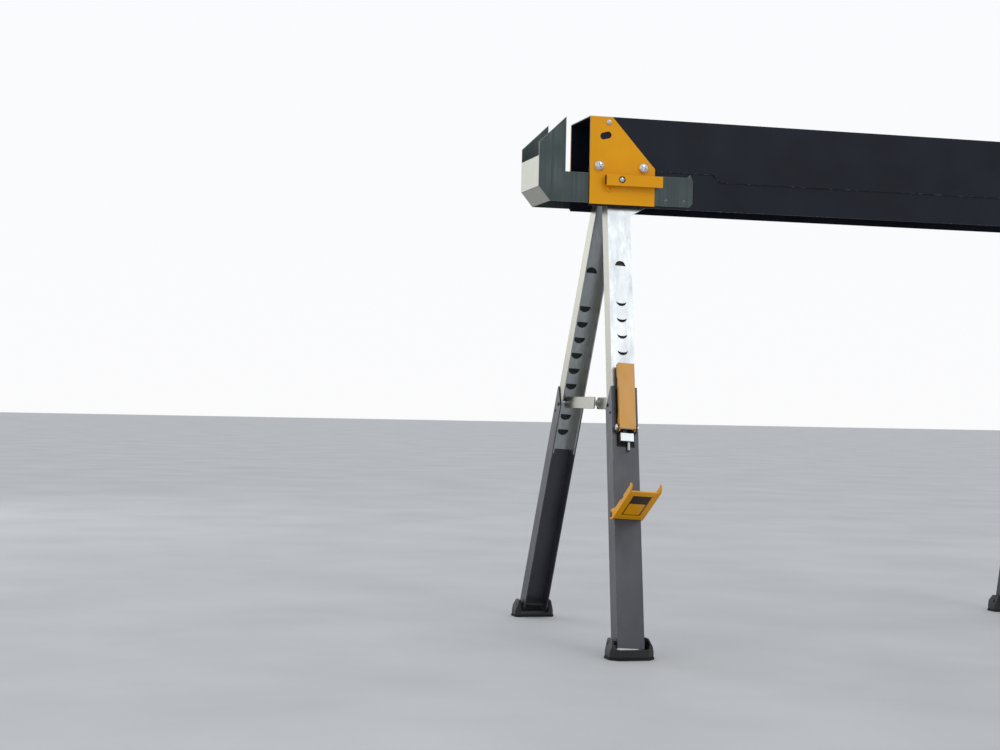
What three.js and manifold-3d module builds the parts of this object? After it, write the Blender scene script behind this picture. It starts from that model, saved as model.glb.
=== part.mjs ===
// Folding sawhorse with height-adjusting legs and pull-out lumber arms.
// Millimetres, +X along the beam to the right, +Y to the rear, +Z up.
// The origin is on the ground, below the middle of the beam.
import * as THREE from "three";
import { mergeVertices } from "three/addons/utils/BufferGeometryUtils.js";
import Module from "manifold-3d";

const wasm = await Module();
wasm.setup();

// ---- driving dimensions ----

const INCH = 25.4;
const GAP = 0.3; // between pieces that touch
const BEAM = { length: 934, width: 101.6, height: 140, bottom: 676, sheet: 1.5 };
const RECESS = { depth: 2, high: 58, low: 46, highEnd: 206, lowStart: 218 };
const LUMBER = { thickness: 38.1, width: 88.9 };

const SPLAY = THREE.MathUtils.degToRad(18.5); // each leg leans out to its own side
const LEAN = THREE.MathUtils.degToRad(3.476); // and out towards its end of the beam

// The splay axis runs along X between the leg and the beam wall.
const AXIS = { y: 38, z: BEAM.bottom + 44.5, fromEnd: 54.5 };

// Leg sizes: n is the distance inboard of the splay axis, d the distance down the leg from it.
const LOWER = { width: 41, sheet: 1.5, face: 7, tip: 36.6, top: 343, flangeTop: 351.5, end: 741.7 };
const UPPER = { width: 37.2, sheet: 1.8, face: 9.3, tip: 36, flangeTop: 18, end: 451 };
const HEIGHT_STEP = INCH / (Math.cos(SPLAY) * Math.cos(LEAN)); // one inch of working height
const HOLES = { first: 207, count: 9, stop: 139.5, radius: 8.5, innerSag: 3.6 };
const WINDOW = { half: 14, end: 438.7 };

// Where each end's legs turn as they fold: u is inboard along the beam, d down the leg.
const FOLD_PIVOT = {
  left: { u: 39.4, d: 29.8, barrel: [-1, 30] },
  right: { u: 0, d: -5.8, barrel: [17, 47] },
};
const EAR_START = 56; // how far down a left leg its fold ear reaches
const HANGER = { outer: 6.2, inner: 9, eye: 11, barrelRadius: 7 };
const SPLAY_PIN = { radius: 3, headRadius: 5, head: 2, lug: 3, lugGap: 0.5 };
const FOLD_PIN = { radius: 4, headRadius: 6.5, outer: 4.3, inner: 14 };

const LEVER = { top: 309.8, bottom: 413.5, pin: 411, face: -6.5, half: 12.7, sheet: 1.5 };
const LEVER_PIN = { radius: 2.5, headRadius: 4, n: 0 };
const TONGUE = { half: 10.4, top: 419.4, bottom: 432, outer: -2 };
const SPREADER = { d: 365, n: 22, half: 9.5, sheet: 2.5, offset: 5.5, apart: 4.5 };
const PEG = { pivotN: 14, pivotD: 541.9, length: 85, half: 23.5, inset: 0.5 };
const PEG_OPEN = THREE.MathUtils.degToRad(78);
const FOOT = { pivotN: 21.8, pivotD: 731.7, height: 21, half: 33.5, out: 29.3, in: 8.5, ear: 8.5 };
const FOOT_PIN = { radius: 3, half: 29.6 };
const SOLE = 4;

const PLATE = { length: 107, sheet: 2, inner: 51.1, step: 0.9 };
const ARM = { inner: 49.1, sheet: 1.6, reach: 82, tail: 172, low: 4 };
const BAR = { from: 24, to: 116.6, low: 31, high: 48.5, inner: 58.5, outer: 66, pivot: 49.3 };

const paint = (color, roughness, metalness) =>
  new THREE.MeshStandardMaterial({ color, roughness, metalness });
const MATERIAL = {
  black: paint(0x1c2027, 0.42, 0.1),
  grey: paint(0x4a4d52, 0.45, 0.2),
  orange: paint(0xe09a16, 0.45, 0.05),
  zinc: paint(0xb9c0c2, 0.38, 0.85),
  steel: paint(0xc6c8ca, 0.28, 0.9),
  rubber: paint(0x111212, 0.85, 0),
};

// ---- solids ----

// A closed three.js geometry as a manifold-3d solid.
function solid(geometry) {
  const bare = geometry.clone();
  bare.deleteAttribute("normal");
  bare.deleteAttribute("uv");
  const merged = mergeVertices(bare, 1e-4);
  return new wasm.Manifold(
    new wasm.Mesh({
      numProp: 3,
      vertProperties: merged.attributes.position.array,
      triVerts: new Uint32Array(merged.index.array),
    }),
  );
}

function geometryOf(body) {
  const mesh = body.getMesh();
  const geometry = new THREE.BufferGeometry();
  geometry.setAttribute("position", new THREE.BufferAttribute(mesh.vertProperties, 3));
  geometry.setIndex(new THREE.BufferAttribute(mesh.triVerts, 1));
  const flat = geometry.toNonIndexed();
  flat.computeVertexNormals();
  return flat;
}

function join(...bodies) {
  return bodies.reduce((sum, body) => sum.add(body));
}

function box(x0, x1, y0, y1, z0, z1) {
  const geometry = new THREE.BoxGeometry(x1 - x0, y1 - y0, z1 - z0);
  return solid(geometry.translate((x0 + x1) / 2, (y0 + y1) / 2, (z0 + z1) / 2));
}

const shapeOf = (points) => new THREE.Shape(points.map(([a, b]) => new THREE.Vector2(a, b)));

// An outline given as (x, z), thick from y0 to y1.
function slabXZ(outline, y0, y1) {
  const shape = outline instanceof THREE.Shape ? outline : shapeOf(outline);
  const options = { depth: y1 - y0, bevelEnabled: false, curveSegments: 8 };
  const geometry = new THREE.ExtrudeGeometry(shape, options);
  return solid(geometry.rotateX(Math.PI / 2).translate(0, y1, 0));
}

// An outline given as (y, z), thick from x0 to x1.
function slabYZ(outline, x0, x1) {
  const shape = outline instanceof THREE.Shape ? outline : shapeOf(outline);
  const options = { depth: x1 - x0, bevelEnabled: false, curveSegments: 8 };
  const geometry = new THREE.ExtrudeGeometry(shape, options);
  geometry.applyMatrix4(
    new THREE.Matrix4().makeBasis(
      new THREE.Vector3(0, 1, 0),
      new THREE.Vector3(0, 0, 1),
      new THREE.Vector3(1, 0, 0),
    ),
  );
  return solid(geometry.translate(x0, 0, 0));
}

// A round bar between two points on a line along X or Y.
function barX(radius, x0, x1, y, z, sides = 12) {
  const geometry = new THREE.CylinderGeometry(radius, radius, x1 - x0, sides);
  return solid(geometry.rotateZ(Math.PI / 2).translate((x0 + x1) / 2, y, z));
}

function barY(radius, y0, y1, x, z, sides = 12) {
  const geometry = new THREE.CylinderGeometry(radius, radius, y1 - y0, sides);
  return solid(geometry.translate(x, (y0 + y1) / 2, z));
}

function barZ(radius, z0, z1, x, y, sides = 10) {
  const geometry = new THREE.CylinderGeometry(radius, radius, z1 - z0, sides);
  return solid(geometry.rotateX(Math.PI / 2).translate(x, y, (z0 + z1) / 2));
}

// The straight-sided outline round a set of circles [x, z, radius], for lugs and hangers.
function hullOutline(circles, steps = 12) {
  const points = circles.flatMap(([x, z, radius]) =>
    Array.from({ length: steps }, (_, i) => {
      const angle = (2 * Math.PI * i) / steps;
      return [x + radius * Math.cos(angle), z + radius * Math.sin(angle)];
    }),
  );
  points.sort((a, b) => a[0] - b[0] || a[1] - b[1]);
  const turn = (o, a, b) => (a[0] - o[0]) * (b[1] - o[1]) - (a[1] - o[1]) * (b[0] - o[0]);
  const chain = (list) => {
    const side = [];
    for (const point of list) {
      while (side.length > 1 && turn(side.at(-2), side.at(-1), point) <= 1e-9) side.pop();
      side.push(point);
    }
    return side.slice(0, -1);
  };
  return [...chain(points), ...chain([...points].reverse())];
}

const root = new THREE.Group();

function piece(name, body, material, parent = root) {
  const mesh = new THREE.Mesh(geometryOf(body), material);
  mesh.name = name;
  parent.add(mesh);
  return mesh;
}

// ---- beam ----

const END = BEAM.length / 2;
const HALF = BEAM.width / 2;
const RECESSED = HALF - RECESS.depth; // outer face of the recessed lower panel

// Points of the recess edge from the left end to the right, raised by lift.
function recessEdge(lift) {
  const half = [
    [-END, RECESS.high],
    [-END + RECESS.highEnd, RECESS.high],
    [-END + RECESS.lowStart, RECESS.low],
  ];
  const mirrored = half.map(([x, z]) => [-x, z]).reverse();
  return [...half, ...mirrored].map(([x, z]) => [x, z + lift]);
}

// One side wall of the beam, built for +Y: a flat upper panel, and a lower panel pressed in
// so that the arm slides in it flush with the paint.
function beamWall() {
  const inner = HALF - BEAM.sheet;
  const upper = [...recessEdge(0), [END, BEAM.height], [-END, BEAM.height]];
  const lower = [[-END, 0], [END, 0], ...recessEdge(BEAM.sheet).reverse()];
  const shoulder = [...recessEdge(0), ...recessEdge(BEAM.sheet).reverse()];
  return join(
    slabXZ(upper, inner, HALF),
    slabXZ(lower, RECESSED - BEAM.sheet, RECESSED),
    slabXZ(shoulder, RECESSED - BEAM.sheet, HALF),
  );
}

// The pair of lugs on the beam wall that hold a splay pin, for the +Y wall of the left end.
function splayLugs(barrel) {
  const z = AXIS.z - BEAM.bottom;
  const wall = RECESSED - BEAM.sheet / 2;
  const round = hullOutline([[AXIS.y, z, 5], [wall - 5, z, 5]]);
  const outline = [...round.filter(([y]) => y < wall - 5), [wall, z + 5]];
  outline.push([wall, z - 5]);
  const middle = outline.reduce((sum, [y]) => sum + y, 0) / outline.length;
  outline.sort(
    (a, b) => Math.atan2(a[1] - z, a[0] - middle) - Math.atan2(b[1] - z, b[0] - middle),
  );
  const at = -END + AXIS.fromEnd;
  const places = [
    at + barrel[0] - SPLAY_PIN.lugGap - SPLAY_PIN.lug,
    at + barrel[1] + SPLAY_PIN.lugGap,
  ];
  const lugs = places.map((x) => slabYZ(outline, x, x + SPLAY_PIN.lug));
  const bore = barX(
    SPLAY_PIN.radius + GAP, places[0] - 1, places[1] + SPLAY_PIN.lug + 1, AXIS.y, z, 10,
  );
  return join(...lugs).subtract(bore);
}

function makeBeam() {
  const top = box(-END, END, -HALF, HALF, BEAM.height - BEAM.sheet, BEAM.height);
  const lugs = join(
    splayLugs(FOLD_PIVOT.left.barrel),
    splayLugs(FOLD_PIVOT.right.barrel).mirror([1, 0, 0]),
  );
  const wall = beamWall().add(lugs);
  const beam = piece("beam", join(top, wall, wall.mirror([0, 1, 0])), MATERIAL.black);
  beam.position.z = BEAM.bottom;
}

// ---- end plates, arms and arm latches ----

// A group for one end: built for the left end, and mirrored for the right one.
function endGroup(end) {
  const group = new THREE.Group();
  group.scale.x = end === "left" ? 1 : -1;
  group.position.set(end === "left" ? -END : END, 0, BEAM.bottom);
  root.add(group);
  return group;
}

// An end plate for the front: a sloping gusset whose lower part steps out over the arm.
function endPlate() {
  const bendLow = 66;
  const bendHigh = 69;
  const y = -PLATE.inner;
  const gusset = [[0, bendLow], [PLATE.length - 4, bendLow], [36, 139.5], [0, 139.5]];
  const lower = [[0, 2.5], [PLATE.length, 2.5], [PLATE.length, 61.5]];
  lower.push([PLATE.length - 4, bendHigh - 3], [0, bendHigh - 3]);
  const bend = [[0, bendLow - 2], [PLATE.length - 4, bendLow - 2]];
  bend.push([PLATE.length - 6.7, bendHigh], [0, bendHigh]);
  const eye = hullOutline([[21.5, 109, 5.6], [29, 111, 5.6]]);
  const slot = [[25.2, 32], [31.4, 32], [31.4, 47.5], [25.2, 47.5]];
  return join(
    slabXZ(gusset, y - PLATE.sheet, y),
    slabXZ(lower, y - PLATE.step - PLATE.sheet, y - PLATE.step),
    slabXZ(bend, y - PLATE.step - PLATE.sheet, y),
  ).subtract(join(slabXZ(eye, y - 6, y + 2), slabXZ(slot, y - 6, y + 2)));
}

// The arm: two hooked side plates joined by an end web and a sloping corner web.
function supportArm() {
  const outer = ARM.inner + ARM.sheet;
  const notch = LUMBER.thickness + 0.5;
  const floor = BEAM.height - LUMBER.width;
  const tail = [[ARM.tail - 6, ARM.low], [ARM.tail, ARM.low + 6], [ARM.tail, 46]];
  tail.push([ARM.tail - 4.5, 56.3], [ARM.tail - 9, floor]);
  const side = [[-62.9, ARM.low], ...tail, [-notch, floor], [-notch, 136.7]];
  side.push([-ARM.reach, 95], [-ARM.reach, 27]);
  const corner = [[-ARM.reach, 27], [-62.9, ARM.low], [-61.2, ARM.low + 1.2]];
  corner.push([-ARM.reach + ARM.sheet, 28]);
  return join(
    slabXZ(side, -outer, -ARM.inner),
    slabXZ(side, ARM.inner, outer),
    box(-ARM.reach, -ARM.reach + ARM.sheet, -outer, outer, 26, 74),
    slabXZ(corner, -outer, outer),
  );
}

// The rocking latch bar: a shallow channel whose tooth reaches through the plate to the arm.
function latchBar() {
  const side = [[BAR.from, -BAR.outer], [BAR.to, -BAR.outer], [BAR.to, -BAR.outer + 4.5]];
  side.push([BAR.to - 34, -BAR.inner], [BAR.from, -BAR.inner]);
  const sideShape = shapeOf(side);
  const web = box(BAR.from, BAR.to, -BAR.outer, -BAR.outer + 1.8, BAR.low, BAR.high);
  const flange = (z) =>
    solid(
      new THREE.ExtrudeGeometry(sideShape, { depth: 1.8, bevelEnabled: false }).translate(0, 0, z),
    );
  const tooth = box(26.6, 30, -BAR.outer + 1, -PLATE.inner - 0.2, BAR.low + 2.4, BAR.high - 2.4);
  const boss = barY(6, -BAR.outer + 1, -BAR.inner + 0.6, BAR.pivot, 40.6);
  const bore = barY(2.7, -BAR.outer - 1, -BAR.inner + 2, BAR.pivot, 40.6);
  const seat = barY(5.2, -BAR.outer - 1, -BAR.outer + 2.2, BAR.pivot, 40.6);
  return join(web, flange(BAR.low), flange(BAR.high - 1.8), tooth, boss).subtract(bore.add(seat));
}

function makeEnd(end) {
  const group = endGroup(end);
  piece(`end_plate_${end}_front`, endPlate(), MATERIAL.orange, group);
  piece(`end_plate_${end}_rear`, endPlate().mirror([0, 1, 0]), MATERIAL.orange, group);
  piece(`support_arm_${end}`, supportArm(), MATERIAL.zinc, group);
  piece(`arm_latch_${end}`, latchBar(), MATERIAL.orange, group);
}

// ---- legs ----
// A leg is drawn in its own frame: x = u, inboard along the beam; y = n, in from the splay axis;
// z = -d, up the leg. The web faces out (-y), and the flanges point in.

function upperLeg(end) {
  const { u, d } = FOLD_PIVOT[end];
  const half = UPPER.width / 2;
  const inner = UPPER.face + UPPER.sheet;
  // the inboard flange of a left leg stops lower, where the ear leaves the web
  const inboardTop = end === "left" ? EAR_START : UPPER.flangeTop;
  const corner = [half - 3, -UPPER.flangeTop + 4, 3];
  const ear = hullOutline([[u, -d, HANGER.eye], [-corner[0], corner[1], 3], corner]);
  const gusset = hullOutline([
    [u, -d, HANGER.eye],
    [half - 3, -EAR_START, 3],
    [-half + 3, -EAR_START, 3],
  ]);
  const flange = (from, to, top) => box(from, to, UPPER.face, UPPER.tip, -UPPER.end, -top);
  const channel = join(
    box(-half, half, UPPER.face, inner, -UPPER.end, -UPPER.flangeTop - 1),
    slabXZ(ear, UPPER.face, inner),
    slabXZ(gusset, UPPER.face, inner),
    flange(-half, -half + UPPER.sheet, UPPER.flangeTop),
    flange(half - UPPER.sheet, half, inboardTop),
  );
  const cuts = [barY(FOLD_PIN.radius + GAP, UPPER.face - 1, inner + 1, u, -d, 10)];
  for (let i = 0; i < HOLES.count; i++) {
    cuts.push(crescent(-HOLES.first - i * HEIGHT_STEP, -1, HOLES.innerSag));
  }
  cuts.push(crescent(-HOLES.stop, 1, 0));
  cuts.push(barX(2.3, -half - 1, half + 1, SPREADER.n, -SPREADER.d, 8));
  return channel.subtract(join(...cuts));
}

// A lanced opening in the upper leg's web, its belly towards sign * z, hollowed by its inner sag.
function crescent(z, sign, innerSag) {
  const steps = 5;
  const arc = (sag) =>
    Array.from({ length: steps + 1 }, (_, i) => {
      const angle = Math.PI * (0.06 + (0.88 * i) / steps);
      const rise = sag * Math.sin(angle) - HOLES.radius / 2;
      return [HOLES.radius * Math.cos(angle), z + sign * rise];
    });
  const outline = [...arc(HOLES.radius), ...arc(innerSag).reverse()];
  return slabXZ(outline, UPPER.face - 1, UPPER.face + UPPER.sheet + 1);
}

function lowerLeg(hasPeg) {
  const half = LOWER.width / 2;
  const inner = LOWER.face + LOWER.sheet;
  const corner = 10; // cut off each flange, so the shoe can turn
  const flangeOutline = [
    [LOWER.face, -LOWER.top],
    [LOWER.face + 4, -LOWER.top],
    [LOWER.tip, -LOWER.flangeTop - 18],
    [LOWER.tip, -LOWER.end + corner],
    [LOWER.tip - corner, -LOWER.end],
    [LOWER.face, -LOWER.end],
  ];
  const earOutline = [[inner, -LEVER.pin + 9], [-1, -LEVER.pin + 5], [-3.8, -LEVER.pin]];
  earOutline.push([-1, -LEVER.pin - 5], [inner, -LEVER.pin - 9]);
  const parts = [
    box(-half, half, LOWER.face, inner, -LOWER.end, -LOWER.top),
    slabYZ(flangeOutline, -half, -half + LOWER.sheet),
    slabYZ(flangeOutline, half - LOWER.sheet, half),
    slabYZ(earOutline, -WINDOW.half - LOWER.sheet, -WINDOW.half),
    slabYZ(earOutline, WINDOW.half, WINDOW.half + LOWER.sheet),
  ];
  if (hasPeg) {
    for (const side of [-1, 1]) {
      const [a, b, c] = [half - 0.8, PEG.half + GAP, PEG.half + 1.8].map((u) => side * u);
      parts.push(
        barX(3, Math.min(a, b), Math.max(a, b), PEG.pivotN, -PEG.pivotD, 10),
        barX(4.6, Math.min(b, c), Math.max(b, c), PEG.pivotN, -PEG.pivotD, 10),
      );
    }
  }
  const cuts = [
    box(-WINDOW.half, WINDOW.half, -20, inner + 0.1, -WINDOW.end, -LOWER.top + 1),
    barX(LEVER_PIN.radius + GAP, -20, 20, LEVER_PIN.n, -LEVER.pin, 10),
    barX(FOOT_PIN.radius + GAP, -half - 1, half + 1, FOOT.pivotN, -FOOT.pivotD, 10),
  ];
  return join(...parts).subtract(join(...cuts));
}

// The hanger is drawn in the splay frame, before the leg's lean is added.
function hanger(end) {
  const { barrel } = FOLD_PIVOT[end];
  const [x, z] = pivotInSplayFrame(end);
  const reach = HANGER.barrelRadius - 1;
  const outline = hullOutline([
    [x, z, HANGER.eye],
    [barrel[0] + reach, 0, reach],
    [barrel[1] - reach, 0, reach],
  ]);
  const body = slabXZ(outline, HANGER.outer, HANGER.inner).add(
    barX(HANGER.barrelRadius, barrel[0], barrel[1], 0, 0, 14),
  );
  return body
    .subtract(barX(SPLAY_PIN.radius + GAP, barrel[0] - 1, barrel[1] + 1, 0, 0, 10))
    .subtract(barY(FOLD_PIN.radius + GAP, HANGER.outer - 1, HANGER.inner + 1, x, z, 10));
}

function pivotInSplayFrame(end) {
  const { u, d } = FOLD_PIVOT[end];
  const at = new THREE.Vector3(u, 0, -d).applyAxisAngle(new THREE.Vector3(0, 1, 0), LEAN);
  return [at.x, at.z];
}

function splayPin(end) {
  const [from, to] = FOLD_PIVOT[end].barrel;
  const reach = SPLAY_PIN.lugGap + SPLAY_PIN.lug + GAP;
  return join(
    barX(SPLAY_PIN.radius, from - reach - 1, to + reach + 1, 0, 0, 10),
    barX(SPLAY_PIN.headRadius, from - reach - SPLAY_PIN.head, from - reach, 0, 0),
    barX(SPLAY_PIN.headRadius, to + reach, to + reach + SPLAY_PIN.head, 0, 0),
  );
}

function foldPin(end) {
  const { u, d } = FOLD_PIVOT[end];
  const inner = UPPER.face + UPPER.sheet + GAP;
  return join(
    barY(FOLD_PIN.radius, FOLD_PIN.outer, FOLD_PIN.inner, u, -d, 10),
    barY(FOLD_PIN.headRadius, FOLD_PIN.outer, HANGER.outer - GAP, u, -d),
    barY(FOLD_PIN.headRadius, inner, FOLD_PIN.inner, u, -d),
  );
}

// The locking lever: a channel that lies on the window and turns on a pin at its lower end.
function lever() {
  const side = [[LEVER.face, -LEVER.top], [4.6, -LEVER.top], [4.6, -LEVER.top - 16]];
  side.push([0.5, -LEVER.top - 24], [0.5, -LEVER.pin + 26], [4.8, -LEVER.pin + 12]);
  side.push([6.2, -LEVER.pin], [3, -LEVER.pin - 5.6], [-3, -LEVER.pin - 5.6]);
  side.push([-6, -LEVER.pin], [LEVER.face, -LEVER.bottom]);
  const flange = (u) => slabYZ(side, u, u + LEVER.sheet);
  const face = box(
    -LEVER.half, LEVER.half, LEVER.face, LEVER.face + LEVER.sheet, -LEVER.bottom, -LEVER.top,
  );
  return join(face, flange(-LEVER.half), flange(LEVER.half - LEVER.sheet)).subtract(
    barX(LEVER_PIN.radius + GAP, -20, 20, LEVER_PIN.n, -LEVER.pin, 10),
  );
}

function leverPin() {
  const ear = WINDOW.half + LOWER.sheet + GAP;
  const at = [LEVER_PIN.n, -LEVER.pin];
  return join(
    barX(LEVER_PIN.radius, -ear - 1, ear + 1, ...at, 10),
    barX(LEVER_PIN.headRadius, -ear - 2, -ear, ...at),
    barX(LEVER_PIN.headRadius, ear, ear + 2, ...at),
  );
}

// The latch tongue: a block in the window, with a tooth for the holes and a guide rod below.
function latchTongue() {
  const tooth = HOLES.first + (HOLES.count - 1) * HEIGHT_STEP;
  return join(
    box(-TONGUE.half, TONGUE.half, TONGUE.outer, 6.4, -TONGUE.bottom, -TONGUE.top),
    barY(2, 6, UPPER.face - GAP, 0, -tooth - 2, 10),
    barZ(2.4, -TONGUE.bottom - 13, -TONGUE.bottom + 1, 3.5, 3),
  );
}

// The fold-out support peg: a channel astride the lower leg, drawn closed, its pivot at zero.
function supportPeg() {
  const faceOut = -9.8;
  const foot = 6.3;
  const head = foot + PEG.length;
  const side = [[faceOut, foot], [-6.5, -3.5], [-3, -6.6], [3, -6.6], [6.6, -3], [6.6, 3]];
  side.push([3.5, 14], [0, 22], [0, 48], [-2.5, 50], [-2.5, 60], [0, 62], [0, head + 1]);
  side.push([2.5, head + 4], [0, head + 7.5], [-5.5, head + 6], [faceOut, head]);
  const face = box(-PEG.half, PEG.half, faceOut, faceOut + 2, foot, head);
  const panel = box(-15, 15, faceOut - 1, faceOut + PEG.inset, foot + 11, head - 12);
  const body = join(
    face.subtract(panel),
    slabYZ(side, -PEG.half, -PEG.half + 2),
    slabYZ(side, PEG.half - 2, PEG.half),
  );
  return body.subtract(barX(3 + GAP, -PEG.half - 1, PEG.half + 1, 0, 0, 10));
}

// A spreader link lies level from its leg to the middle plane. Only the front one has the spacer.
function spreaderLink(side, length) {
  const u = side === "front" ? SPREADER.offset : -SPREADER.offset;
  const corner = SPREADER.half - 3;
  const strip = hullOutline([
    [0, 0, SPREADER.half],
    [length + corner, -corner, 3],
    [length + corner, corner, 3],
  ]);
  const half = SPREADER.sheet / 2;
  const parts = [slabYZ(strip, u - half, u + half)];
  if (side === "front") {
    parts.push(barX(5, -SPREADER.offset + half + SPREADER.apart, u, length, 0, 10));
  }
  return join(...parts).subtract(barX(2.3, u - 3, u + 3, 0, 0, 8));
}

// The shoe: an eight-sided pan with high sides, open on the inboard side, upright at the pivot.
function padOutline(inset) {
  const side = FOOT.half - inset;
  const out = -FOOT.out + inset;
  const back = FOOT.in - inset;
  const cut = 11;
  return [
    [-side, out + cut], [-side + cut, out], [side - cut, out], [side, out + cut],
    [side, back - 4], [side - 4, back], [-side + 4, back], [-side, back - 4],
  ];
}

function pad(inset, z0, z1) {
  const options = { depth: z1 - z0, bevelEnabled: false };
  return solid(new THREE.ExtrudeGeometry(shapeOf(padOutline(inset)), options).translate(0, 0, z0));
}

// Seen from the front, the shoe's sides lean in towards the leg above the sole.
function earOutline(inset) {
  const [wide, narrow] = [FOOT.half - inset, FOOT.half - 7.5 - inset];
  const [low, knee] = [-FOOT.height, -FOOT.height + SOLE + 7];
  const top = FOOT.ear + 6;
  return [[-wide, low], [wide, low], [wide, knee], [narrow, top], [-narrow, top], [-wide, knee]];
}

function foot() {
  const bottom = -FOOT.height + SOLE;
  const wall = 2.5;
  const high = FOOT.ear;
  const profile = [[-40, bottom - 1], [40, bottom - 1], [40, 0], [5, high], [-12, high]];
  profile.push([-FOOT.out + 6, bottom + 12], [-40, bottom + 10]);
  const shell = pad(0, bottom, high + 5)
    .intersect(slabYZ(profile, -40, 40))
    .intersect(slabXZ(earOutline(0), -40, 40));
  const opening = box(-FOOT.half + 9, FOOT.half - 9, 0, 40, bottom + wall, 40);
  const pocket = pad(wall, bottom + wall, 40).intersect(slabXZ(earOutline(wall), -40, 40));
  return shell.subtract(pocket.add(opening));
}

// A cylinder on the foot's pivot, which follows the leg's own section axis.
function footPivot(radius, from, to, sides = 10) {
  const bar = barX(radius, from, to, 0, 0, sides);
  const axis = sectionAxis();
  const turn = new THREE.Quaternion().setFromUnitVectors(new THREE.Vector3(1, 0, 0), axis);
  const e = new THREE.Matrix4().makeRotationFromQuaternion(turn).elements;
  return bar.transform([...e]);
}

function sectionAxis() {
  return new THREE.Vector3(1, 0, 0)
    .applyAxisAngle(new THREE.Vector3(0, 1, 0), LEAN)
    .applyAxisAngle(new THREE.Vector3(1, 0, 0), -SPLAY);
}

// A point of the left front leg, given in the leg's frame, in the end group's frame.
function legPoint(u, n, d) {
  return new THREE.Vector3(u, n, -d)
    .applyAxisAngle(new THREE.Vector3(0, 1, 0), LEAN)
    .applyAxisAngle(new THREE.Vector3(1, 0, 0), -SPLAY)
    .add(new THREE.Vector3(AXIS.fromEnd, -AXIS.y, AXIS.z - BEAM.bottom));
}

function makeLeg(end, side) {
  const tag = `${end}_${side}`;
  const place = new THREE.Group(); // the rear legs mirror the front ones
  place.scale.y = side === "front" ? 1 : -1;
  endGroup(end).add(place);

  const splayed = new THREE.Group();
  splayed.position.set(AXIS.fromEnd, -AXIS.y, AXIS.z - BEAM.bottom);
  splayed.rotation.x = -SPLAY;
  place.add(splayed);
  const level = new THREE.Group(); // the splay pin keeps still
  level.position.copy(splayed.position);
  place.add(level);
  const leg = new THREE.Group();
  leg.rotation.y = LEAN;
  splayed.add(leg);

  piece(`splay_pin_${tag}`, splayPin(end), MATERIAL.steel, level);
  piece(`hanger_${tag}`, hanger(end), MATERIAL.zinc, splayed);
  piece(`fold_pin_${tag}`, foldPin(end), MATERIAL.steel, leg);
  piece(`upper_leg_${tag}`, upperLeg(end), MATERIAL.zinc, leg);
  piece(`lower_leg_${tag}`, lowerLeg(side === "front"), MATERIAL.grey, leg);
  piece(`lever_${tag}`, lever(), MATERIAL.orange, leg);
  piece(`lever_pin_${tag}`, leverPin(), MATERIAL.steel, leg);
  piece(`latch_tongue_${tag}`, latchTongue(), MATERIAL.zinc, leg);
  if (side === "front") makePeg(end, leg);
  makeSpreaderLink(tag, side, leg);
  makeFoot(tag, place);
}

// The left peg stands open and the right one is folded onto its leg.
function makePeg(end, leg) {
  const peg = new THREE.Group();
  peg.position.set(0, PEG.pivotN, -PEG.pivotD);
  peg.rotation.x = end === "left" ? PEG_OPEN : 0;
  leg.add(peg);
  piece(`support_peg_${end}`, supportPeg(), MATERIAL.orange, peg);
}

function makeSpreaderLink(tag, side, leg) {
  const pivot = legPoint(0, SPREADER.n, SPREADER.d);
  // level, and square to the section axis
  const level = new THREE.Vector3(0, 0, 1).cross(sectionAxis()).normalize();
  const length = -pivot.y / level.y;
  const link = new THREE.Group();
  link.position.set(0, SPREADER.n, -SPREADER.d);
  const legTurn = new THREE.Matrix4().makeRotationX(-SPLAY)
    .multiply(new THREE.Matrix4().makeRotationY(LEAN)).invert();
  const inLeg = level.clone().applyMatrix4(legTurn);
  link.rotation.x = Math.atan2(inLeg.z, inLeg.y);
  leg.add(link);
  piece(`spreader_link_${tag}`, spreaderLink(side, length), MATERIAL.zinc, link);
}

function makeFoot(tag, place) {
  const group = new THREE.Group();
  group.position.copy(legPoint(0, FOOT.pivotN, FOOT.pivotD));
  place.add(group);
  const bore = footPivot(FOOT_PIN.radius + GAP, -FOOT.half - 8, FOOT.half + 8);
  const pin = footPivot(FOOT_PIN.radius, -FOOT_PIN.half, FOOT_PIN.half);
  piece(`foot_${tag}`, foot().subtract(bore), MATERIAL.black, group);
  piece(`foot_pin_${tag}`, pin, MATERIAL.steel, group);
  piece(`foot_sole_${tag}`, pad(-0.8, -FOOT.height, -FOOT.height + SOLE - GAP), MATERIAL.rubber, group);
}

makeBeam();
for (const end of ["left", "right"]) {
  makeEnd(end);
  for (const side of ["front", "rear"]) makeLeg(end, side);
}

export default root;
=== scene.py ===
"""Looks for a folding sawhorse: materials, softened sheet edges, screws, rivets and pressed details.

Everything is in metres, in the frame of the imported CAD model: +X along the beam, +Z up, front at -Y.
"""

import math

import bmesh
import bpy
from mathutils import Matrix, Vector


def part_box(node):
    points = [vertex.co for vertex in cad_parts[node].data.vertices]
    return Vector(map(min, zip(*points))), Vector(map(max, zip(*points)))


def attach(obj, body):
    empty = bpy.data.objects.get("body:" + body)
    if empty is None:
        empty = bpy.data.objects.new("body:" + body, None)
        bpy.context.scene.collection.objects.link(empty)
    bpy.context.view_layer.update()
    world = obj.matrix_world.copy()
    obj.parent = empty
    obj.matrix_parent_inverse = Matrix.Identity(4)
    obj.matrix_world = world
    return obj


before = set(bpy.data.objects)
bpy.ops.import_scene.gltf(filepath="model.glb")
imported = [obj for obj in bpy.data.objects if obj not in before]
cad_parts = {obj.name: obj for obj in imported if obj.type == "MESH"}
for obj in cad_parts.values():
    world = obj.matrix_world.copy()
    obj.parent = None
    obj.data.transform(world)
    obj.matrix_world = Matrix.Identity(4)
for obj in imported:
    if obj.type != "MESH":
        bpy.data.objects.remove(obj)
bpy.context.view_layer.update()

MM = 0.001
ENDS = ("left", "right")
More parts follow.
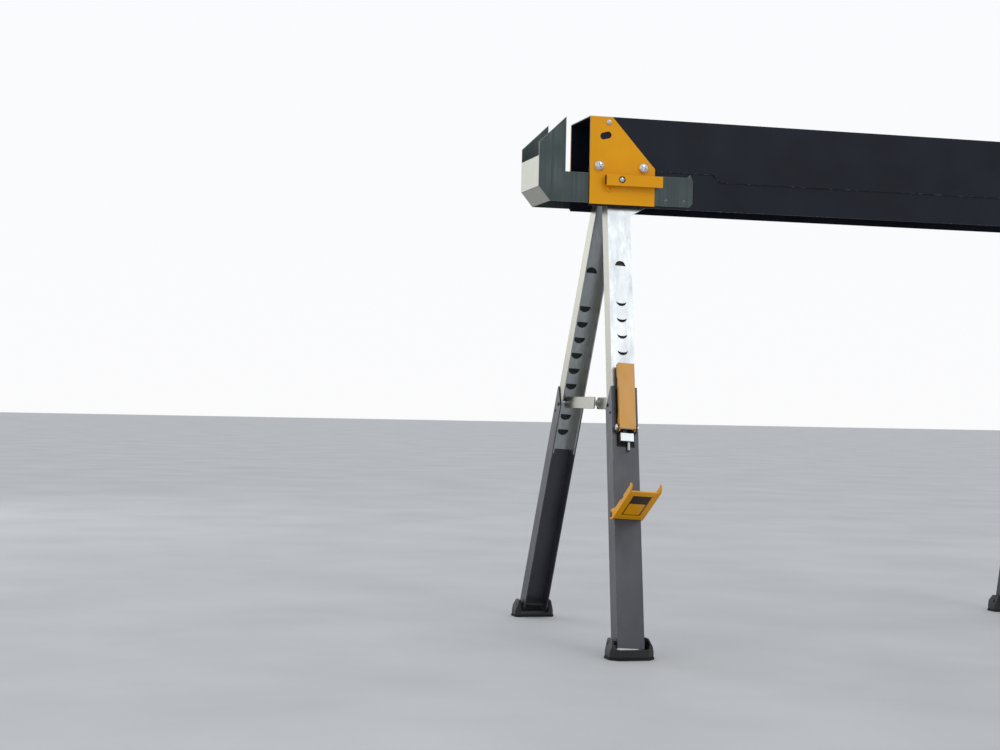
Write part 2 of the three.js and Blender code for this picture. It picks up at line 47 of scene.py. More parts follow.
SIDES = ("front", "rear")

# ---- the leg frame, as in the CAD: u inboard along the beam, n in from the splay axis, d down ----

SPLAY = math.radians(18.5)
LEAN = math.radians(3.476)
BEAM_LOW, BEAM_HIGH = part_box("beam")
AXIS_POINT = Vector((BEAM_LOW.x + 54.5 * MM, -38 * MM, BEAM_LOW.z + 44.5 * MM))
HOLE_STEP = 25.4 / (math.cos(SPLAY) * math.cos(LEAN))
HOLE_FIRST = 207
HOLE_COUNT = 9
HOLE_RADIUS = 8.5
HOLE_STOP = 139.5
UPPER_INNER = 11.1  # inner face of the upper leg's web
UPPER_HALF = 18.6
LOWER_HALF = 20.5
SPREADER_N = 22
SPREADER_D = 365
LEVER_PIN_D = 411
LEVER_TOP = 309.8
PEG_PIVOT_N = 14
PEG_PIVOT_D = 541.9
PEG_OPEN = math.radians(78)

# ---- faces of the beam's end, in millimetres out from the middle plane ----

PLATE_FACE = 54  # the end plate's lower part
PLATE_FACE_UPPER = 53.1
LATCH_SEAT = 64
ARM_FACE = 50.7

# ---- places on the beam's end: x inboard and z up, in millimetres ----

PLATE_SCREWS = ((15, 62.2), (88, 61.6))
PLATE_SCREW_SPINS = (0.4, 1.1)
TOP_SCREW = (30, 131)
PAINTED_SCREW = (32, 27)
LATCH_PIVOT = (49.3, 40.6)
LATCH_SPRING = (72, 40.6)
ARM_RIVETS = ((128, 12), (158, 12))

# ---- sizes of screws and rivets, in millimetres ----

PLATE_SCREW_RADIUS = 8.2
SMALL_SCREW_RADIUS = 4.6
PAINTED_SCREW_RADIUS = 5.6


# ---- materials ----


class Nodes:
    """A material's node tree, with short ways to add and link its nodes."""

    def __init__(self, name):
        self.material = bpy.data.materials.new(name)
        self.material.use_nodes = True
        self.tree = self.material.node_tree
        self.shader = self.tree.nodes["Principled BSDF"]
        coordinates = self.add("ShaderNodeTexCoord")
        self.place = coordinates.outputs["Object"]

    def add(self, kind, **inputs):
        node = self.tree.nodes.new(kind)
        for key, value in inputs.items():
            node.inputs[key.replace("_", " ")].default_value = value
        return node

    def link(self, source, target):
        self.tree.links.new(source, target)

    def set(self, **inputs):
        for key, value in inputs.items():
            self.shader.inputs[key.replace("_", " ")].default_value = value

    def noise(self, scale, detail=4, stretch=(1, 1, 1)):
        mapping = self.add("ShaderNodeMapping")
        mapping.inputs["Scale"].default_value = stretch
        self.link(self.place, mapping.inputs["Vector"])
        texture = self.add("ShaderNodeTexNoise", Scale=scale, Detail=detail)
        self.link(mapping.outputs["Vector"], texture.inputs["Vector"])
        return texture.outputs["Fac"]

    def ramp(self, factor, low, high, to_low=0.0, to_high=1.0):
        node = self.add("ShaderNodeMapRange")
        node.inputs["From Min"].default_value = low
        node.inputs["From Max"].default_value = high
        node.inputs["To Min"].default_value = to_low
        node.inputs["To Max"].default_value = to_high
        self.link(factor, node.inputs["Value"])
        return node.outputs["Result"]

    def mix(self, factor, a, b):
        node = self.tree.nodes.new("ShaderNodeMix")
        node.data_type = "RGBA"
        self.link(factor, node.inputs["Factor"])
        for socket, value in ((node.inputs["A"], a), (node.inputs["B"], b)):
            if isinstance(value, tuple):
                socket.default_value = (*value, 1)
            else:
                self.link(value, socket)
        return node.outputs["Result"]

    def times(self, a, b):
        node = self.tree.nodes.new("ShaderNodeMath")
        node.operation = "MULTIPLY"
        self.link(a, node.inputs[0])
        self.link(b, node.inputs[1])
        return node.outputs["Value"]

    def edges(self, radius):
        """1 along the sharp edges of a sheet, 0 on its flats."""
        bevel = self.add("ShaderNodeBevel", Radius=radius)
        bevel.samples = 4
        geometry = self.add("ShaderNodeNewGeometry")
        dot = self.tree.nodes.new("ShaderNodeVectorMath")
        dot.operation = "DOT_PRODUCT"
        self.link(bevel.outputs["Normal"], dot.inputs[0])
        self.link(geometry.outputs["Normal"], dot.inputs[1])
        return self.ramp(dot.outputs["Value"], 0.99, 0.86)

    def along_beam(self):
        """1 on the faces that look along the beam, 0 on its sides: the mask for light and shade painted by
        facing.
        """
        geometry = self.add("ShaderNodeNewGeometry")
        split = self.add("ShaderNodeSeparateXYZ")
        self.link(geometry.outputs["True Normal"], split.inputs["Vector"])
        size = self.tree.nodes.new("ShaderNodeMath")
        size.operation = "ABSOLUTE"
        self.link(split.outputs["X"], size.inputs[0])
        return self.ramp(size.outputs["Value"], 0.4, 0.6)

    def bump(self, height, strength, distance):
        node = self.add("ShaderNodeBump", Strength=strength, Distance=distance)
        self.link(height, node.inputs["Height"])
        self.link(node.outputs["Normal"], self.shader.inputs["Normal"])

    def colour(self, socket):
        self.link(socket, self.shader.inputs["Base Color"])

    def roughness(self, socket):
        self.link(socket, self.shader.inputs["Roughness"])


def coated(name, dark, light, roughness, grain, worn=None, specular=0.3):
    """Powder coat or paint: two close shades, a fine orange peel, and bare spots on the edges."""
    nodes = Nodes(name)
    shade = nodes.mix(nodes.ramp(nodes.noise(14, 5), 0.35, 0.68), dark, light)
    if worn:
        chips = nodes.times(
            nodes.edges(0.6 * MM), nodes.ramp(nodes.noise(160, 3), 0.56, 0.64)
        )
        shade = nodes.mix(chips, shade, worn)
    nodes.colour(shade)
    scuffs = nodes.noise(45, 6, (1, 1, 0.35))
    nodes.roughness(nodes.ramp(scuffs, 0.3, 0.75, roughness - 0.06, roughness + 0.1))
    nodes.bump(nodes.noise(grain, 2), 0.18, 0.06 * MM)
    nodes.set(Specular_IOR_Level=specular)
    return nodes.material


def plated(name, dark, light, roughness, metallic, edge=None, ends=None):
    """Zinc plate: cloudy, with faint rolling streaks, and, where given, a painted highlight along the edges
    and painted light and shade on the faces that look along the beam.
    """
    nodes = Nodes(name)
    cloud = nodes.ramp(nodes.noise(22, 5), 0.3, 0.7)
    streak = nodes.ramp(nodes.noise(230, 4, (1, 1, 0.02)), 0.35, 0.65)
    shade = nodes.mix(nodes.times(cloud, streak), dark, light)
    # painted light and shade: faces that look along the beam get their own tone, as light would fall on
    # them
    if ends:
        shade = nodes.mix(nodes.along_beam(), shade, ends)
    # painted highlight along the sheet's edges
    if edge:
        shade = nodes.mix(nodes.edges(0.7 * MM), shade, edge)
    nodes.colour(shade)
    wiped = nodes.ramp(nodes.noise(60, 5, (1, 1, 0.2)), 0.3, 0.7, roughness - 0.03, roughness + 0.05)
    nodes.roughness(wiped)
    nodes.bump(nodes.noise(500, 3, (1, 1, 0.04)), 0.1, 0.04 * MM)
    nodes.set(Metallic=metallic)
    return nodes.material


def make_materials():
    bare = (0.42, 0.42, 0.4)
    return {
        "beam": coated(
            "beam_paint", (0.005, 0.007, 0.014), (0.009, 0.012, 0.022), 0.36, 900, bare, 0.22
        ),
        "orange": coated(
            "orange_paint", (0.8, 0.342, 0.001), (0.88, 0.384, 0.002), 0.4, 850, bare, 0.2
        ),
        "lever": coated(
            "lever_paint", (0.6, 0.27, 0.022), (0.68, 0.32, 0.034), 0.36, 850, bare, 0.6
        ),
        "grey": coated(
            "slate_powder_coat", (0.036, 0.04, 0.05), (0.052, 0.057, 0.07), 0.34, 1200, bare, 0.5
        ),
        "foot": coated("foot_coat", (0.02, 0.021, 0.023), (0.034, 0.035, 0.037), 0.5, 700),
        "rubber": coated("sole_rubber", (0.008, 0.008, 0.008), (0.018, 0.018, 0.018), 0.78, 1500),
        # bright zinc: its faces that look along the beam take a darker beige tone, painted shade
        "zinc": plated(
            "bright_zinc", (0.37, 0.39, 0.4), (0.5, 0.525, 0.54), 0.3, 0.9, None, (0.42, 0.42, 0.36)
        ),
        # the arm: its dark tone is painted shade, standing in for the zinc's dark reflection; its edges
        # carry a painted highlight and its end faces painted light
        "arm": plated(
            "arm_zinc",
            (0.062, 0.08, 0.08),
            (0.1, 0.122, 0.12),
            0.34,
            0.8,
            (0.5, 0.52, 0.44),
            (0.4, 0.41, 0.35),
        ),
        "steel": plated("bright_steel", (0.6, 0.6, 0.6), (0.82, 0.82, 0.82), 0.22, 1.0),
        # dark pocket zinc: painted shade, for the shadow inside the height holes
        "dark_zinc": plated("pocket_painted_shade", (0.02, 0.022, 0.024), (0.035, 0.038, 0.04), 0.5, 0.5),
        "label": coated("label_print", (0.03, 0.02, 0.008), (0.05, 0.034, 0.012), 0.5, 900),
        # dark: the flange rivets' own tone and the latch screw's ring, and painted shade on the latch bar's
        # open end and behind the lower leg's window
        "dark": coated("dark_and_painted_shade", (0.012, 0.01, 0.01), (0.025, 0.02, 0.018), 0.6, 900),
    }


MATERIALS = make_materials()

MATERIAL_BY_PREFIX = (
    ("beam", "beam"),
    ("end_plate", "orange"),
    ("arm_latch", "orange"),
    ("support_arm", "arm"),
    ("support_peg", "orange"),
    ("lower_leg", "grey"),
    ("lever_pin", "steel"),
    ("lever", "lever"),
    ("foot_sole", "rubber"),
    ("foot_pin", "foot"),
    ("foot", "foot"),
    ("splay_pin", "steel"),
    ("fold_pin", "steel"),
)


# ---- carried-over CAD nodes ----


def soften(obj, width, segments=3):
    """Joins the facets into flat faces, and rounds the edges of the sheet."""
    weld = obj.modifiers.new("weld", "WELD")
    weld.merge_threshold = 0.002 * MM
    flatten = obj.modifiers.new("flatten", "DECIMATE")
    flatten.decimate_type = "DISSOLVE"
    flatten.angle_limit = math.radians(1)
    bevel = obj.modifiers.new("round", "BEVEL")
    bevel.width = width
    bevel.segments = segments
    bevel.limit_method = "ANGLE"
    bevel.angle_limit = math.radians(42)
    bevel.harden_normals = True
    obj.modifiers.new("shade", "WEIGHTED_NORMAL").keep_sharp = True


def dress_nodes():
    """Gives each CAD node its material and its rounded edges."""
    for name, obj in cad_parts.items():
        key = next((m for prefix, m in MATERIAL_BY_PREFIX if name.startswith(prefix)), "zinc")
        obj.data.materials.clear()
        obj.data.materials.append(MATERIALS[key])
        if "custom_normal" in obj.data.attributes:
            obj.data.attributes.remove(obj.data.attributes["custom_normal"])
        obj.data.shade_smooth()
        soften(obj, (0.25 if "pin" in name else 0.55) * MM)


# ---- making pieces ----


def finish_piece(name, bm, material, body, smooth=True):
    """Turns a mesh into a piece that rides on a body and has its material."""
    mesh = bpy.data.meshes.new(name)
    bmesh.ops.recalc_face_normals(bm, faces=bm.faces)
    bm.to_mesh(mesh)
    bm.free()
    if smooth:
        mesh.shade_smooth()
        mesh.set_sharp_from_angle(angle=math.radians(35))
    obj = bpy.data.objects.new(name, mesh)
    bpy.context.scene.collection.objects.link(obj)
    mesh.materials.append(MATERIALS[material])
    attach(obj, body)
    return obj


def lathe(bm, profile, steps=28):
    """Turns a profile of (radius, height) about Z, with its ends closed on the axis."""
    rings = []
    for radius, height in profile:
        if radius < 1e-7:
            rings.append([bm.verts.new((0, 0, height))])
            continue
        angles = [2 * math.pi * i / steps for i in range(steps)]
        rings.append([bm.verts.new((radius * math.cos(a), radius * math.sin(a), height)) for a in angles])
    for low, high in zip(rings, rings[1:]):
        for i in range(steps):
            k = (i + 1) % steps
            face = [low[i % len(low)], low[k % len(low)], high[k % len(high)], high[i % len(high)]]
            bm.faces.new(list(dict.fromkeys(face)))


def cross_recess(radius, height):
    """A cross of two crossed wedges, to cut a driver recess."""
    bm = bmesh.new()
    for turn in (0, math.pi / 2):
        made = bmesh.ops.create_cube(bm, size=1)["verts"]
        shape = Matrix.Diagonal((radius * 1.15, radius * 0.24, height * 1.2, 1))
        place = Matrix.Rotation(turn, 4, "Z") @ Matrix.Translation((0, 0, height)) @ shape
        bmesh.ops.transform(bm, matrix=place, verts=made)
    return bm


def screw_mesh(recess):
    """A domed screw head of radius 1 standing on the XY plane, with or without a cross recess."""
    bm = bmesh.new()
    dome = 0.52
    arc = [math.pi / 2 * i / 7 for i in range(8)]
    profile = [(0, -0.12), (0.97, -0.12), (1, 0.04)]
    profile += [(math.cos(a), 0.08 + dome * math.sin(a)) for a in arc[:-1]]
    lathe(bm, profile + [(0, 0.08 + dome)])
    bmesh.ops.recalc_face_normals(bm, faces=bm.faces)
    mesh = bpy.data.meshes.new("screw")
    bm.to_mesh(mesh)
    bm.free()
    if not recess:
        return mesh
    head = bpy.data.objects.new("screw_head", mesh)
    bpy.context.scene.collection.objects.link(head)
    tool = bpy.data.objects.new("screw_tool", bpy.data.meshes.new("screw_tool"))
    cut = cross_recess(1, dome)
    cut.to_mesh(tool.data)
    cut.free()
    bpy.context.scene.collection.objects.link(tool)
    modifier = head.modifiers.new("recess", "BOOLEAN")
    modifier.object = tool
    modifier.operation = "DIFFERENCE"
    modifier.use_self = True
    bpy.context.view_layer.update()
    evaluated = head.evaluated_get(bpy.context.evaluated_depsgraph_get())
    made = bpy.data.meshes.new_from_object(evaluated)
    bpy.data.objects.remove(head)
    bpy.data.objects.remove(tool)
    return made


SCREW = screw_mesh(True)
DOME = screw_mesh(False)


def stand(point, out, spin=0.0):
    """The placement that stands a part drawn along +Z on a point, facing out."""
    turn = Vector((0, 0, 1)).rotation_difference(out).to_matrix().to_4x4()
    return Matrix.Translation(point) @ turn @ Matrix.Rotation(spin, 4, "Z")


def add_heads(name, heads, body, material="steel", recess=True):
    """Screw heads in one piece; each head is (point, outward direction, radius, spin)."""
    bm = bmesh.new()
    for point, out, radius, spin in heads:
        before = len(bm.verts)
        bm.from_mesh(SCREW if recess else DOME)
        bm.verts.ensure_lookup_table()
        place = stand(point, out, spin) @ Matrix.Scale(radius, 4)
        bmesh.ops.transform(bm, matrix=place, verts=bm.verts[before:])
    return finish_piece(name, bm, material, body)


def end_point(end, side, x, y, z):
    """A point of an end in mm: x inboard from the beam's end, y out from the middle, z above its bottom."""
    along = BEAM_LOW.x + x * MM if end == "left" else BEAM_HIGH.x - x * MM
    return Vector((along, (-y if side == "front" else y) * MM, BEAM_LOW.z + z * MM))


def outward(side):
    return Vector((0, -1 if side == "front" else 1, 0))


def stand_in_mm(point, out):
    return stand(point, out) @ Matrix.Scale(MM, 4)


def leg_matrix(end, side):
    """From the leg frame, with z = -d, to the model's frame, and from millimetres to metres."""
    place = Matrix.Translation(AXIS_POINT) @ Matrix.Rotation(-SPLAY, 4, "X")
    place = place @ Matrix.Rotation(LEAN, 4, "Y") @ Matrix.Scale(MM, 4)
    mirror = Matrix.Diagonal((1 if end == "left" else -1, 1 if side == "front" else -1, 1, 1))
    return mirror @ place


def leg_direction(end, side, direction):
    """A direction of the leg frame, in the model's frame."""
    return (leg_matrix(end, side).to_3x3() @ Vector(direction)).normalized()


def box_into(bm, low, high):
    """Adds a box to a mesh, from its lowest to its highest corner."""
    made = bmesh.ops.create_cube(bm, size=1)["verts"]
    size = [b - a for a, b in zip(low, high)]
    middle = [(a + b) / 2 for a, b in zip(low, high)]
    place = Matrix.Translation(middle) @ Matrix.Diagonal((*size, 1))
    bmesh.ops.transform(bm, matrix=place, verts=made)


def turned_into(bm, profile, place, steps=20):
    """Adds a lathed profile to a mesh, at a placement."""
    before = len(bm.verts)
    lathe(bm, profile, steps)
    bm.verts.ensure_lookup_table()
    bmesh.ops.transform(bm, matrix=place, verts=bm.verts[before:])


# ---- plate and beam details ----


def plate_screws(end, side):
    """Three screws, two dished washers and a painted screw on an end plate."""
    tag = f"{end}_{side}"
    out = outward(side)
    radius = PLATE_SCREW_RADIUS * MM
    heads = [
        (end_point(end, side, x, PLATE_FACE, z), out, radius, spin)
        for (x, z), spin in zip(PLATE_SCREWS, PLATE_SCREW_SPINS)
    ]
    top = end_point(end, side, TOP_SCREW[0], PLATE_FACE_UPPER, TOP_SCREW[1])
    heads.append((top, out, SMALL_SCREW_RADIUS * MM, 0.2))
    add_heads(f"plate_screws_{tag}", heads, "root")
    washers = bmesh.new()
    ring = [(8, -1), (10, -1), (10, 0.3), (9.4, 0.8), (8, 0.8), (8, -1)]
    for x, z in PLATE_SCREWS:
        turned_into(washers, ring, stand_in_mm(end_point(end, side, x, PLATE_FACE, z), out), 28)
    finish_piece(f"plate_washers_{tag}", washers, "orange", "root")
    seat = end_point(end, side, PAINTED_SCREW[0], PLATE_FACE, PAINTED_SCREW[1])
    painted = [(seat, out, PAINTED_SCREW_RADIUS * MM, 0.7)]
    add_heads(f"painted_screw_{tag}", painted, "root", "orange")


def latch_screw(end):
    """The screw that the latch bar rocks on, with a dark ring about it."""
    out = outward("front")
    seat = end_point(end, "front", LATCH_PIVOT[0], LATCH_SEAT, LATCH_PIVOT[1])
    add_heads(f"latch_screw_{end}", [(seat, out, SMALL_SCREW_RADIUS * MM, 0.9)], "root")
    ring = bmesh.new()
    rim = [(4.7, 0), (5.1, 0), (5.1, 2.3), (4.7, 2.3), (4.7, 0)]
    turned_into(ring, rim, stand_in_mm(seat, out))
    finish_piece(f"latch_ring_{end}", ring, "dark", "root")


def coil(radius, wire, bottom, height, coils=4, turn_steps=16, sides=6):
    """A coil of round wire about Z, closed at both ends."""
    bm = bmesh.new()
    steps = turn_steps * coils
    corners = [2 * math.pi * k / sides for k in range(sides)]
    rings = []
    for i in range(steps + 1):
        turn = 2 * math.pi * coils * i / steps
        radial = Vector((math.cos(turn), math.sin(turn), 0))
        middle = radial * radius + Vector((0, 0, bottom + height * i / steps))
        offsets = [radial * math.cos(c) + Vector((0, 0, math.sin(c))) for c in corners]
        rings.append([bm.verts.new(middle + wire * offset) for offset in offsets])
    for a, b in zip(rings, rings[1:]):
        for k in range(sides):
            bm.faces.new([a[k], a[(k + 1) % sides], b[(k + 1) % sides], b[k]])
    bm.faces.new(rings[0])
    bm.faces.new(rings[-1])
    return bm


def latch_spring(end):
    """The spring under the latch bar's inboard end."""
    spring = coil(4.6, 0.55, 0.7, 3.4)
    base = end_point(end, "front", LATCH_SPRING[0], PLATE_FACE, LATCH_SPRING[1])
    bmesh.ops.transform(spring, matrix=stand_in_mm(base, outward("front")), verts=spring.verts)
    finish_piece(f"latch_spring_{end}", spring, "steel", "root")


def latch_end_shade(end):
    """A dark plate on the latch bar's end face: painted shade, standing in for the shadow inside its open
    end.
    """
    reach = ((23.8, 59.6, 32.6), (24.3, 64.9, 46.9))
    corners = [end_point(end, "front", *point) for point in reach]
    low = [min(a, b) for a, b in zip(*corners)]
    high = [max(a, b) for a, b in zip(*corners)]
    bm = bmesh.new()
    box_into(bm, low, high)
    finish_piece(f"latch_end_shade_{end}", bm, "dark", f"arm_latch_{end}", False)


def arm_stop_rivets(end, side):
    """Flat rivets on the arm's tail, low enough to slide behind the end plate."""
    rivets = bmesh.new()
    profile = [(0, -1), (2.6, -1), (2.6, 0.05), (2, 0.25), (0, 0.28)]
    for x, z in ARM_RIVETS:
        turned_into(rivets, profile, stand_in_mm(end_point(end, side, x, ARM_FACE, z), outward(side)))
    finish_piece(f"arm_rivets_{end}_{side}", rivets, "arm", f"arm_{end}")


# ---- leg details ----


def hole_outline(z, sign, grow):
    """The half-round edge of a height hole, and its chord, grown a little."""
    steps = 12
    radius = HOLE_RADIUS + grow
    chord = HOLE_RADIUS / 2 + grow
    angles = [math.pi * i / steps for i in range(steps + 1)]
    return [(radius * math.cos(a), z + sign * (radius * math.sin(a) - chord)) for a in angles]


# Each ring of a scoop: how far behind the leg's web it lies, and how much wider than the hole it is.
# The deepest stays clear of the folded spreader link.
SCOOP_RINGS = ((0, 1.2), (0.8, 0.9), (1.15, -0.4), (0.85, -0.8), (0.5, 0.2), (0, 0.5))
SCOOP_GAP = 0.05  # between the scoop and the web


def scoop_into(bm, z, sign):
    """One hollow scoop: its rings joined in turn, with a back and a floor between the deepest two."""
    rings = []
    for depth, grow in SCOOP_RINGS:
        edge = hole_outline(z, sign, grow)
        rings.append([bm.verts.new((x, UPPER_INNER + SCOOP_GAP + depth, y)) for x, y in edge])
    back, floor = rings[2], rings[3]
    for a, b in zip(rings, rings[1:] + rings[:1]):
        if a is back:
            continue
        for i in range(len(a)):
            k = (i + 1) % len(a)
            bm.faces.new([a[i], a[k], b[k], b[i]])
    bm.faces.new(back)
    bm.faces.new(list(reversed(floor)))


def scoops(end, side):
    """The lanced tab behind each height hole: a shallow half-round pocket pushed into the leg, coloured
    dark as painted shade inside the hole.
    """
    bm = bmesh.new()
    for i in range(HOLE_COUNT):
        scoop_into(bm, -HOLE_FIRST - i * HOLE_STEP, -1)
    scoop_into(bm, -HOLE_STOP, 1)
    tag = f"{end}_{side}"
    bmesh.ops.transform(bm, matrix=leg_matrix(end, side), verts=bm.verts)
    finish_piece(f"hole_scoops_{tag}", bm, "dark_zinc", f"upper_leg_{tag}")


FLANGE_RIVETS = ((26, 368, 3), (15, 383, 2.1))  # n, d and radius


def leg_rivets(end, side):
    """Rivet heads on the outside of the lower leg's flanges."""
    tag = f"{end}_{side}"
    place = leg_matrix(end, side)
    heads = []
    for sign in (-1, 1):
        out = leg_direction(end, side, (sign, 0, 0))
        for n, d, radius in FLANGE_RIVETS:
            heads.append((place @ Vector((sign * LOWER_HALF, n, -d)), out, radius * MM, 0))
    add_heads(f"flange_rivets_{tag}", heads, f"lower_leg_{tag}", "dark", False)


def spreader_pivot(end, side):
    """The shouldered bar across the upper leg that its spreader link turns on."""
    tag = f"{end}_{side}"
    bm = bmesh.new()
    half = UPPER_HALF - 1.9  # just inside the flanges
    profile = [(0, -half), (4, -half), (4, -half + 1), (2, -half + 1.2), (2, half - 1.2)]
    profile += [(4, half - 1), (4, half), (0, half)]
    across = Matrix.Translation((0, SPREADER_N, -SPREADER_D)) @ Matrix.Rotation(math.pi / 2, 4, "Y")
    turned_into(bm, profile, leg_matrix(end, side) @ across)
    finish_piece(f"spreader_pivot_{tag}", bm, "steel", f"upper_leg_{tag}")


def spreader_rivet(end):
    """The rivet where the two spreader links cross, on the front link."""
    link_low, link_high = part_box(f"spreader_link_{end}_front")
    height = (link_low.z + link_high.z) / 2
    face, inboard = (link_high.x, 1) if end == "left" else (link_low.x, -1)
    place = stand_in_mm(Vector((face, -4 * MM, height)), Vector((inboard, 0, 0)))
    bm = bmesh.new()
    turned_into(bm, [(0, -0.6), (5, -0.6), (5, 0.6), (3.8, 1.7), (0, 1.9)], place)
    finish_piece(f"spreader_rivet_{end}", bm, "steel", f"spreader_{end}_front")


WASHER_U = 15.9  # against the heads of the lever pin


def lever_details(end, side):
    """Washers on the lever pin, and a folded lip at the lever's top."""
    tag = f"{end}_{side}"
    place = leg_matrix(end, side)
    washers = bmesh.new()
    for sign in (-1, 1):
        turn = Matrix.Rotation(sign * math.pi / 2, 4, "Y")
        at = Matrix.Translation((sign * WASHER_U, 0, -LEVER_PIN_D))
        turned_into(washers, [(0, 0), (5.2, 0), (5.2, 0.9), (3.4, 1.1), (0, 1.1)], place @ at @ turn)
    finish_piece(f"lever_washers_{tag}", washers, "steel", f"lower_leg_{tag}")
    lip = bmesh.new()
    box_into(lip, (-11, -6.4, -LEVER_TOP - 1.5), (11, 3.2, -LEVER_TOP))
    bmesh.ops.transform(lip, matrix=place, verts=lip.verts)
    obj = finish_piece(f"lever_lip_{tag}", lip, "lever", f"lever_{tag}", False)
    soften(obj, 0.3 * MM)


def window_shade_sheet(end, side):
    """A thin dark sheet behind the lower leg's window, painted shade standing in for the shadow inside it;
    open where the latch's tooth passes.
    """
    tag = f"{end}_{side}"
    inner, outer, half, tooth = 8.65, 8.9, 13.7, 3
    top, below_tooth, bottom = -347, -428.5, -438.5
    bm = bmesh.new()
    for x0, x1 in ((-half, -tooth), (tooth, half)):
        box_into(bm, (x0, inner, bottom), (x1, outer, top))
    box_into(bm, (-tooth, inner, bottom), (tooth, outer, below_tooth))
    bmesh.ops.transform(bm, matrix=leg_matrix(end, side), verts=bm.verts)
    finish_piece(f"window_shade_sheet_{tag}", bm, "dark", f"lower_leg_{tag}", False)


def peg_label(end):
    """A plain printed panel in the peg's shallow recess: a dark border with a dark upper third."""
    turn = PEG_OPEN if end == "left" else 0
    place = leg_matrix(end, "front") @ Matrix.Translation((0, PEG_PIVOT_N, -PEG_PIVOT_D))
    place = place @ Matrix.Rotation(turn, 4, "X")
    back, face = -9.25, -9.45
    half, low, high, border = 14, 18.5, 78, 1.6
    boxes = (
        ((-half, low), (half, low + border)),
        ((-half, low + border), (-half + border, high)),
        ((half - border, low + border), (half, high)),
        ((-half + border, high - 24), (half - border, high)),
    )
    bm = bmesh.new()
    for (x0, z0), (x1, z1) in boxes:
        box_into(bm, (x0, face, z0), (x1, back, z1))
    bmesh.ops.transform(bm, matrix=place, verts=bm.verts)
    finish_piece(f"peg_panel_{end}", bm, "label", f"peg_{end}", False)


def foot_details(end, side):
    """Ribs across the sole."""
    tag = f"{end}_{side}"
    low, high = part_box(f"foot_sole_{tag}")
    bm = bmesh.new()
    ribs = 7
    half, margin = 1.2 * MM, 11 * MM
    for i in range(ribs):
        x = low.x + (high.x - low.x) * (i + 1) / (ribs + 1)
        rib_low = (x - half, low.y + margin, low.z + 0.02 * MM)
        box_into(bm, rib_low, (x + half, high.y - margin, low.z + 2 * MM))
    finish_piece(f"sole_ribs_{tag}", bm, "rubber", f"foot_{tag}", False)


for end in ENDS:
    latch_screw(end)
    latch_spring(end)
    latch_end_shade(end)
    spreader_rivet(end)
    peg_label(end)
    for side in SIDES:
        plate_screws(end, side)
        arm_stop_rivets(end, side)
        scoops(end, side)
        leg_rivets(end, side)
        spreader_pivot(end, side)
        lever_details(end, side)
        window_shade_sheet(end, side)
        foot_details(end, side)
dress_nodes()


# ---- floor, light and camera ----

FLOOR_DARK = (0.5, 0.5, 0.5)
FLOOR_LIGHT = (0.57, 0.57, 0.57)


def make_floor():
    bm = bmesh.new()
    bmesh.ops.create_grid(bm, x_segments=2, y_segments=2, size=30)
    mesh = bpy.data.meshes.new("floor")
    bm.to_mesh(mesh)
    bm.free()
    floor = bpy.data.objects.new("floor", mesh)
    bpy.context.scene.collection.objects.link(floor)
    nodes = Nodes("floor_plaster")
    nodes.colour(nodes.mix(nodes.ramp(nodes.noise(3, 6), 0.3, 0.7), FLOOR_DARK, FLOOR_LIGHT))
    nodes.set(Roughness=0.8)
    mesh.materials.append(nodes.material)


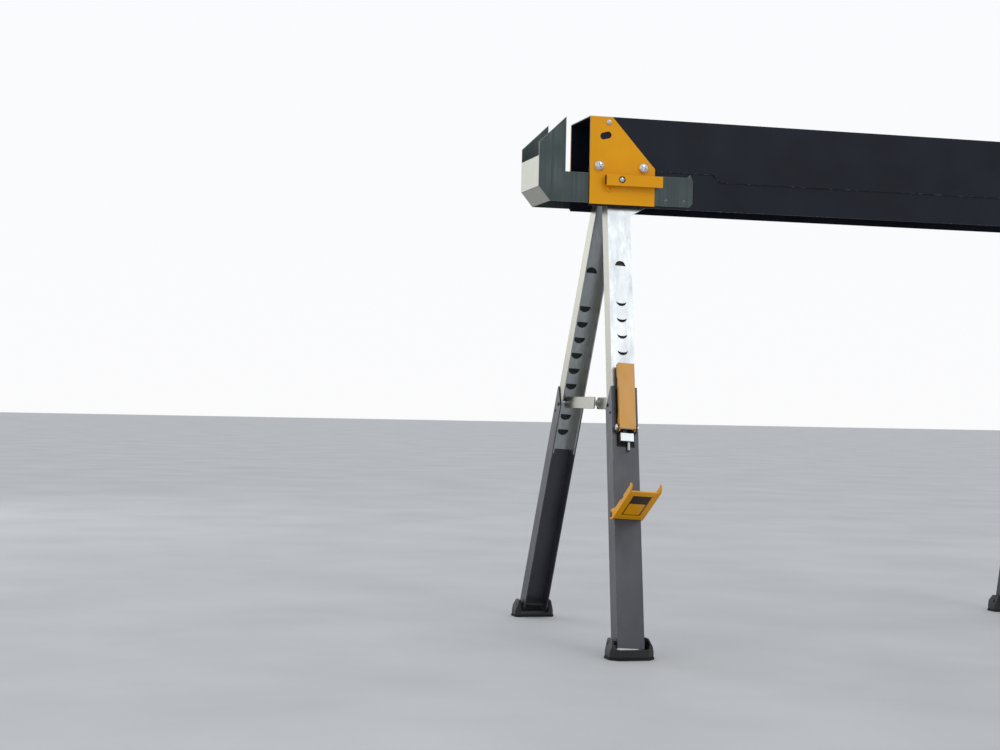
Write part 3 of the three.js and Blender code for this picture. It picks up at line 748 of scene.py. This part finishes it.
def make_world():
    """A near-white studio, a little brighter as a backdrop than as a light."""
    world = bpy.data.worlds.new("studio")
    bpy.context.scene.world = world
    world.use_nodes = True
    tree = world.node_tree
    background = tree.nodes["Background"]
    coordinates = tree.nodes.new("ShaderNodeTexCoord")
    split = tree.nodes.new("ShaderNodeSeparateXYZ")
    ramp = tree.nodes.new("ShaderNodeValToRGB")
    ramp.color_ramp.elements[0].position = 0.0
    ramp.color_ramp.elements[0].color = (0.95, 0.95, 0.96, 1)
    ramp.color_ramp.elements[1].position = 0.9
    ramp.color_ramp.elements[1].color = (0.88, 0.93, 1.0, 1)
    tree.links.new(coordinates.outputs["Generated"], split.inputs["Vector"])
    tree.links.new(split.outputs["Z"], ramp.inputs["Fac"])
    tree.links.new(ramp.outputs["Color"], background.inputs["Color"])
    path = tree.nodes.new("ShaderNodeLightPath")
    strength = tree.nodes.new("ShaderNodeMapRange")
    strength.inputs["To Min"].default_value = 0.88  # as light
    strength.inputs["To Max"].default_value = 1.02  # as the backdrop the camera sees
    tree.links.new(path.outputs["Is Camera Ray"], strength.inputs["Value"])
    tree.links.new(strength.outputs["Result"], background.inputs["Strength"])


def area_light(name, position, target, size, power):
    light = bpy.data.lights.new(name, "AREA")
    light.shape = "DISK"
    light.size = size
    light.energy = power
    obj = bpy.data.objects.new(name, light)
    aim = Vector(target) - Vector(position)
    obj.visible_camera = False
    obj.matrix_world = Matrix.Translation(position) @ aim.to_track_quat("-Z", "Y").to_matrix().to_4x4()
    bpy.context.scene.collection.objects.link(obj)


CAMERA_PLACE = (-1.3054, -2.70835, 0.36675)
CAMERA_LENS = 64.41  # on a 36 mm sensor
CAMERA_TURN = (0.2580, 0.0150, 0.0210)  # yaw, pitch and roll


def make_camera():
    """Low in front of the left end, looking along the beam and slightly up."""
    yaw, pitch, roll = CAMERA_TURN
    forward = Vector(
        (math.sin(yaw) * math.cos(pitch), math.cos(yaw) * math.cos(pitch), math.sin(pitch))
    )
    right = Vector((math.cos(yaw), -math.sin(yaw), 0))
    up = right.cross(forward)
    right_rolled = right * math.cos(roll) + up * math.sin(roll)
    up_rolled = up * math.cos(roll) - right * math.sin(roll)
    camera = bpy.data.objects.new("camera", bpy.data.cameras.new("camera"))
    turn = Matrix((right_rolled, up_rolled, -forward)).transposed().to_4x4()
    camera.matrix_world = Matrix.Translation(CAMERA_PLACE) @ turn
    camera.data.lens = CAMERA_LENS
    camera.data.sensor_width = 36
    camera.data.clip_end = 200
    bpy.context.scene.collection.objects.link(camera)
    bpy.context.scene.camera = camera


make_floor()
make_world()
area_light("key", position=(0.9, -3.3, 3.1), target=(-0.45, -0.2, 0.5), size=1.8, power=21)
area_light("rim", position=(-2.4, 3.2, 1.2), target=(-0.5, 0, 0.7), size=1.6, power=10)
make_camera()
bpy.context.scene.view_settings.view_transform = "Standard"
